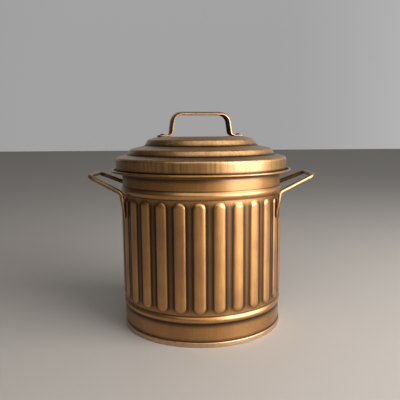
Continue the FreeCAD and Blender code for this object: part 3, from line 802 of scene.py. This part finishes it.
@dataclass
class Lid:
    """The spun lid with its tiers, skirt and folded hem."""

    seat: float = 182.0 * MM
    radius: float = 100.4 * MM
    sheet: float = 0.8 * MM
    skirt: float = 15.6 * MM
    shelf_rise: float = 3.1 * MM
    middle_foot: float = 86.8 * MM
    middle: float = 83.4 * MM
    middle_step: float = 6.6 * MM
    middle_rise: float = 3.8 * MM
    upper_foot: float = 66.4 * MM
    upper: float = 62.8 * MM
    upper_step: float = 6.8 * MM
    upper_rise: float = 3.2 * MM
    top_radius: float = 52.0 * MM
    corner: float = 3.6 * MM
    hollow: float = 2.0 * MM
    top_rounding: float = 18.0 * MM
    hem_height: float = 5.0 * MM
    hem_slack: float = 0.05 * MM
    centre: float = 0.5 * MM
    hold: float = 0.3 * MM
    row_step: float = 0.9 * MM
    arc_steps: int = 10
    fold_steps: int = 12
    columns: int = 288
    # These shape the painted shade at the tiers' feet, on the flats and at the hem, and the painted highlight
    # left on the corners.
    foot_shade: float = 2.0 * MM
    foot_shadow: float = 0.85
    lit_reach: float = 3.0 * MM
    flat_shade: float = 0.18
    hem_shade: tuple[float, float] = (2.4 * MM, 4.4 * MM)
    hem_shadow: float = 0.9

    @property
    def top(self) -> float:
        """Height of the level top."""
        climbs = (self.shelf_rise, self.middle_step, self.middle_rise, self.upper_step, self.upper_rise)
        return self.seat + self.skirt + sum(climbs)

    def corners(self) -> np.ndarray:
        """Sharp corners of the outer section, from the skirt's edge to the middle of the top."""
        corner_z = self.seat + self.skirt
        middle_foot_z = corner_z + self.shelf_rise
        middle_z = middle_foot_z + self.middle_step
        upper_foot_z = middle_z + self.middle_rise
        upper_z = upper_foot_z + self.upper_step
        return np.array([
            [self.radius, self.seat],
            [self.radius, corner_z],
            [self.middle_foot, middle_foot_z],
            [self.middle, middle_z],
            [self.upper_foot, upper_foot_z],
            [self.upper, upper_z],
            [self.top_radius, self.top],
            [self.centre, self.top],
        ])

    def profile(self, inset: float) -> np.ndarray:
        """The lid's section from the skirt's edge to the middle of the top.

        The face lies inset inside the outer one. Its points are rows of (distance from the axis, height).
        """
        corners = self.corners()
        radii = np.array(
            [self.corner, self.hollow, self.corner, self.hollow, self.corner, self.top_rounding]
        )
        signs = np.array([-1.0, 1.0, -1.0, 1.0, -1.0, -1.0])
        outer = rounded_line(corners, radii, self.arc_steps, self.hold)
        if inset == 0.0:
            return outer
        along = unit(np.diff(corners, axis=0))
        normal = np.stack([-along[:, 1], along[:, 0]], axis=1)
        start = corners[:1] + normal[:1] * inset
        end = corners[-1:] + normal[-1:] * inset
        between = unit(normal[:-1] + normal[1:])
        stretch = inset / np.sum(between * normal[1:], axis=1, keepdims=True)
        inner = np.concatenate([start, corners[1:-1] + between * stretch, end])
        return rounded_line(inner, radii + signs * inset, self.arc_steps, self.hold)

    def build(self) -> bpy.types.Object:
        """Turns the outer and inner section as one sheet, with the hem folded up inside the skirt."""
        outer = enriched(self.profile(0.0), self.row_step)
        inner = self.profile(self.sheet)
        hem_middle = self.radius - self.sheet
        hem_z = self.seat + self.hem_height
        fold = arc((hem_middle, self.seat + self.sheet), self.sheet, -180.0, 0.0, self.fold_steps)
        hem_top = np.array([
            [hem_middle - self.hem_slack, hem_z + self.hem_slack],
            [hem_middle - self.hem_slack, hem_z],
            [hem_middle - self.sheet, hem_z],
        ])
        profile = np.concatenate([inner[:0:-1], hem_top, fold, outer[1:]])
        # The outer face takes painted shade at the tiers' feet, on the flats and at the hem.
        dark = np.zeros(len(profile))
        dark[-len(outer) + 1:] = self.dark_share(outer[1:])
        hollow = np.repeat(dark[:, None], self.columns, axis=1)
        grid = turned(profile, self.columns)
        return Surface(grid, hollow=hollow).make("lid_sheet")

    def dark_share(self, section: np.ndarray) -> np.ndarray:
        """How dark the outside is painted: painted shade round the tiers' feet and at the hem, and the
        corners kept clear of it, lighter as a painted highlight.

        Round each corner the share follows a bell curve. The flats between get a thin painted shade.
        """
        corners = self.corners()
        away = np.linalg.norm(section[:, None] - corners[None], axis=2)
        feet = np.exp(-((np.min(away[:, [2, 4]], axis=1) / self.foot_shade) ** 2))
        # Corners kept clear of the flats' painted shade, lighter as a painted highlight.
        lit_corners = np.exp(-((np.min(away[:, [1, 3, 5]], axis=1) / self.lit_reach) ** 2))
        hem = 1.0 - smooth_step(*self.hem_shade, section[:, 1] - self.seat)
        dark = self.flat_shade * (1.0 - lit_corners) + self.foot_shadow * feet + self.hem_shadow * hem
        return np.clip(dark, 0.0, 1.0)


@dataclass
class LidHandle:
    """The strap bow on the lid, crowned along its bar and legs and flat at its feet."""

    lid: Lid
    turn: float = 15.0
    width: float = 17.0 * MM
    thickness: float = 2.0 * MM
    crown: float = 2.2 * MM
    height: float = 29.0 * MM
    foot_span: float = 78.0 * MM
    top_span: float = 70.0 * MM
    bend: float = 13.0 * MM
    foot_bend: float = 3.6 * MM
    foot_length: float = 12.5 * MM
    foot_corner: float = 4.0 * MM
    rivet_inset: float = 5.5 * MM
    head_radius: float = 3.4 * MM
    head_height: float = 1.8 * MM
    shank: float = 2.0 * MM
    tail_radius: float = 2.9 * MM
    tail_height: float = 1.5 * MM
    tail_centre: float = 0.2 * MM
    rivet_edges: tuple[float, ...] = (0.8 * MM, 0.2 * MM, 0.05 * MM, 0.05 * MM)
    rivet_columns: int = 40
    crown_climb: tuple[float, float] = (-1.0 * MM, 4.0 * MM)
    face_points: int = 17
    edge_points: int = 7
    edge_turn: float = 80.0
    path_step: float = 0.7 * MM
    bend_steps: int = 16

    def path(self) -> np.ndarray:
        """Middle line of the strap, from the left foot's end to the right one's, in the plane of Y = 0."""
        half = 0.5 * self.thickness
        foot_z = self.lid.top + half
        bar_z = self.lid.top + self.height - half
        leg_foot = 0.5 * self.foot_span - half
        leg_top = 0.5 * self.top_span - half
        foot_end = 0.5 * self.foot_span + self.foot_length
        right = np.array([[leg_top, 0.0, bar_z], [leg_foot, 0.0, foot_z], [foot_end, 0.0, foot_z]])
        left = right[::-1] * np.array([-1.0, 1.0, 1.0])
        radii = np.array([self.foot_bend, self.bend, self.bend, self.foot_bend])
        line = rounded_line(np.concatenate([left, right]), radii, self.bend_steps)
        return resampled(line, self.path_step)

    def section(self, crown: np.ndarray, half_width: np.ndarray) -> np.ndarray:
        """The strap's section at each ring: a rounded strip bent to a parabola.

        The parabola is crown * (1 - (across / half width) squared).

        Args:
            crown: Height of the crown at each ring.
            half_width: Half of the width at each ring.

        Returns:
            For each ring, points as (across, rise).
        """
        half = 0.5 * self.thickness
        across = 0.5 * self.width - half
        upper = np.linspace(-across, across, self.face_points)
        turn = np.radians(np.linspace(self.edge_turn, -self.edge_turn, self.edge_points))
        edge = np.stack([across + half * np.cos(turn), half * np.sin(turn)], axis=1)
        top = np.stack([upper, np.full_like(upper, half)], axis=1)
        strip = np.concatenate([top, edge, -top, -edge])
        share = strip[:, 0] / (0.5 * self.width)
        flat = share * half_width[:, None]
        bend = crown[:, None] * (1.0 - share**2) - crown[:, None]
        return np.stack([flat, strip[:, 1] + bend], axis=2)

    def build(self) -> bpy.types.Object:
        """Carries the crowned section along the bow and narrows it round the corners of the feet."""
        path = self.path()
        along = tangents(path)
        side = np.broadcast_to(np.array([0.0, 1.0, 0.0]), path.shape)
        up = np.cross(along, side)
        length = run_length(path)
        from_end = np.minimum(length, length[-1] - length)
        crown = self.crown * smooth_step(*self.crown_climb, from_end - self.foot_length)
        short = np.clip(self.foot_corner - from_end, 0.0, self.foot_corner)
        cut = self.foot_corner - np.sqrt(self.foot_corner**2 - short**2)
        grid = carried(path, side, up, self.section(crown, 0.5 * self.width - cut))
        grid = turn_about_axis(grid, self.turn)
        # Painted shade on the strap's inner face.
        hollow = np.broadcast_to(self.dark_share(), grid.shape[:2])
        return Surface(grid, flip=True, hollow=hollow).make("lid_handle_strap")

    def dark_share(self) -> np.ndarray:
        """How dark the strap is painted round its section: painted shade on its inner face, while its outer
        face keeps the plain tone.
        """
        half = 0.5 * self.thickness
        rise = self.section(np.zeros(1), np.full(1, 0.5 * self.width))[0, :, 1]
        return 0.9 * (1.0 - smooth_step(-0.7 * half, 0.0, rise))

    def build_rivet(self, sign: int) -> bpy.types.Object:
        """Turns one rivet, the left for sign -1: domed head, shank and formed tail under the lid."""
        head_z = self.lid.top + self.thickness
        under = self.lid.top - self.lid.sheet
        dome = (self.head_radius**2 + self.head_height**2) / (2.0 * self.head_height)
        rim = math.degrees(math.asin((dome - self.head_height) / dome))
        head = arc((0.0, head_z + self.head_height - dome), dome, rim, 88.5, 12)
        tail = np.array([
            [self.tail_centre, under - self.tail_height],
            [self.tail_radius, under - self.tail_height],
            [self.tail_radius, under],
            [self.shank, under],
            [self.shank, head_z],
            [self.head_radius, head_z],
        ])
        profile = np.concatenate([rounded_line(tail, np.array(self.rivet_edges), 6), head])
        reach = 0.5 * self.foot_span + self.foot_length - self.rivet_inset
        grid = turned(profile, self.rivet_columns) + np.array([sign * reach, 0.0, 0.0])
        name = "lid_rivet_right" if sign > 0 else "lid_rivet_left"
        return Surface(turn_about_axis(grid, self.turn)).make(name)


@dataclass
class Studio:
    """The grey floor, the soft light and the camera.

    Attributes:
        distance: From the bin's axis to the camera, along the ground.
        height: Height of the camera.
        pitch: How far the camera looks down, in degrees.
        roll: How far the picture leans, in degrees.
        around: How far the camera stands to the right of straight ahead, in degrees.
        focal: Focal length in pixels of a 400 pixel wide picture.
        axis_offset: How far right of the picture's middle the bin's axis lies, in pixels.
        picture: Width of that picture, in pixels.
        sensor: Width of the camera's sensor, in millimetres.
        target: The point that the lamps face.
        floor_tone: Colour of the floor.
        floor_reach: Half of the floor's width.
        dim: Strength of the surroundings where nothing is added.
        climbs: Axis, start, end and level of the light from behind, from the right and from above.
    """

    distance: float = 580.0 * MM
    height: float = 224.8 * MM
    pitch: float = 7.83
    roll: float = -0.45
    around: float = 1.25
    focal: float = 484.5
    axis_offset: float = 1.2
    picture: float = 400.0
    sensor: float = 36.0
    target: tuple[float, float, float] = (0.0, 0.0, 0.12)
    floor_tone: tuple[float, ...] = (0.47, 0.43, 0.39, 1.0)
    floor_reach: float = 6.0
    dim: float = 0.02
    climbs: tuple[tuple, ...] = (("Y", 0.5, 0.95, 0.34), ("X", 0.1, 1.0, 0.45), ("Z", 0.15, 0.8, 0.08))

    def place_camera(self) -> None:
        """Sets the camera where the photograph was taken from."""
        lens = bpy.data.cameras.new("camera")
        lens.sensor_width = self.sensor
        lens.lens = self.focal / self.picture * self.sensor
        lens.shift_x = -self.axis_offset / self.picture
        camera = bpy.data.objects.new("camera", lens)
        around = math.radians(self.around)
        camera.location = (self.distance * math.sin(around), -self.distance * math.cos(around), self.height)
        aim = Euler((math.radians(90.0 - self.pitch), 0.0, around)).to_matrix()
        lean = Matrix.Rotation(math.radians(self.roll), 3, "Z")
        camera.rotation_euler = (aim @ lean).to_euler()
        bpy.context.scene.collection.objects.link(camera)
        bpy.context.scene.camera = camera

    def lay_floor(self) -> None:
        """Lays a wide grey floor under the bin."""
        reach = self.floor_reach
        mesh = bpy.data.meshes.new("floor")
        corners = [(-reach, -reach, 0), (reach, -reach, 0), (reach, reach, 0), (-reach, reach, 0)]
        mesh.from_pydata(corners, [], [(0, 1, 2, 3)])
        floor = bpy.data.objects.new("floor", mesh)
        bpy.context.scene.collection.objects.link(floor)
        shader = Shader("pale_floor")
        surface = shader.add("BsdfPrincipled", {"Base Color": self.floor_tone, "Roughness": 0.6})
        mesh.materials.append(shader.finish(surface))

    def light(self) -> None:
        """Hangs a strong soft lamp at the right and a wider, weaker one above the camera."""
        self.hang("key", place=(1.0, -0.55, 0.46), size=(1.2, 0.7), power=25.0)
        self.hang("top", place=(0.2, -0.95, 1.05), size=(2.0, 0.8), power=8.0)

    def surround(self) -> None:
        """Lights the surroundings: lightest at the right and behind the bin, dim elsewhere.

        The strength is dim plus, for each of climbs, its level times a smooth climb along that axis.
        """
        world = bpy.data.worlds.new("surroundings")
        bpy.context.scene.world = world
        world.use_nodes = True
        tree = world.node_tree
        split = tree.nodes.new("ShaderNodeSeparateXYZ")
        tree.links.new(tree.nodes.new("ShaderNodeTexCoord").outputs["Generated"], split.inputs[0])
        strength = tree.nodes.new("ShaderNodeValue").outputs["Value"]
        strength.default_value = self.dim
        for axis, start, end, level in self.climbs:
            climb = tree.nodes.new("ShaderNodeMapRange")
            climb.interpolation_type = "SMOOTHSTEP"
            climb.inputs["From Min"].default_value = start
            climb.inputs["From Max"].default_value = end
            climb.inputs["To Max"].default_value = level
            tree.links.new(split.outputs[axis], climb.inputs["Value"])
            total = tree.nodes.new("ShaderNodeMath")
            tree.links.new(strength, total.inputs[0])
            tree.links.new(climb.outputs["Result"], total.inputs[1])
            strength = total.outputs["Value"]
        tree.links.new(strength, tree.nodes["Background"].inputs["Strength"])
        tree.nodes["Background"].inputs["Color"].default_value = (1.0, 1.0, 1.0, 1.0)

    def hang(self, name: str, place: tuple, size: tuple, power: float) -> None:
        """Hangs a rectangular lamp of that width, height and power in watts, facing the target."""
        lamp = bpy.data.lights.new(name, "AREA")
        lamp.shape = "RECTANGLE"
        lamp.size, lamp.size_y = size
        lamp.energy = power
        holder = bpy.data.objects.new(name, lamp)
        bpy.context.scene.collection.objects.link(holder)
        direction = Vector(np.subtract(self.target, place))
        holder.location = place
        holder.rotation_euler = direction.to_track_quat("-Z", "Y").to_euler()

    def build(self) -> None:
        """Sets camera, floor, light and the plain view."""
        self.place_camera()
        self.lay_floor()
        self.light()
        self.surround()
        bpy.context.scene.view_settings.view_transform = "Standard"


@dataclass
class Bin:
    """The whole bin and its finishes."""

    wall: CanWall = field(default_factory=CanWall)
    lid: Lid = field(default_factory=Lid)

    def build(self) -> None:
        """Builds every piece and dresses it."""
        body_brass = BODY_BRASS.make()
        hoop_brass = HOOP_BRASS.make()
        lid_brass = LID_BRASS.make()
        handle_brass = HANDLE_BRASS.make()
        rivet_steel = RIVET_STEEL.make()
        wire_steel = WIRE_STEEL.make()
        dress(self.wall.build(), body_brass, Body.CAN, "can_wall")
        dress(BasePan(self.wall).build(), hoop_brass, Body.CAN, "base_pan")
        for sign, node in ((1, "right_handle"), (-1, "left_handle")):
            dress(SideHandle(self.wall, sign).build(), handle_brass, Body.CAN, node)
        dress(self.lid.build(), lid_brass, Body.LID, "lid_shell")
        bow = LidHandle(self.lid)
        dress(bow.build(), handle_brass, Body.LID, "lid_handle")
        for sign, node in ((1, "lid_rivets"), (-1, "")):
            dress(bow.build_rivet(sign), rivet_steel, Body.LID, node)
        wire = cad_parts["rim_wire"]
        wire.data.materials.clear()
        wire.data.materials.append(wire_steel)


def main() -> None:
    """Builds the bin and the studio."""
    logging.basicConfig(level=logging.INFO, format="%(name)s %(message)s")
    Bin().build()
    Studio().build()


if __name__ == "__main__":
    main()
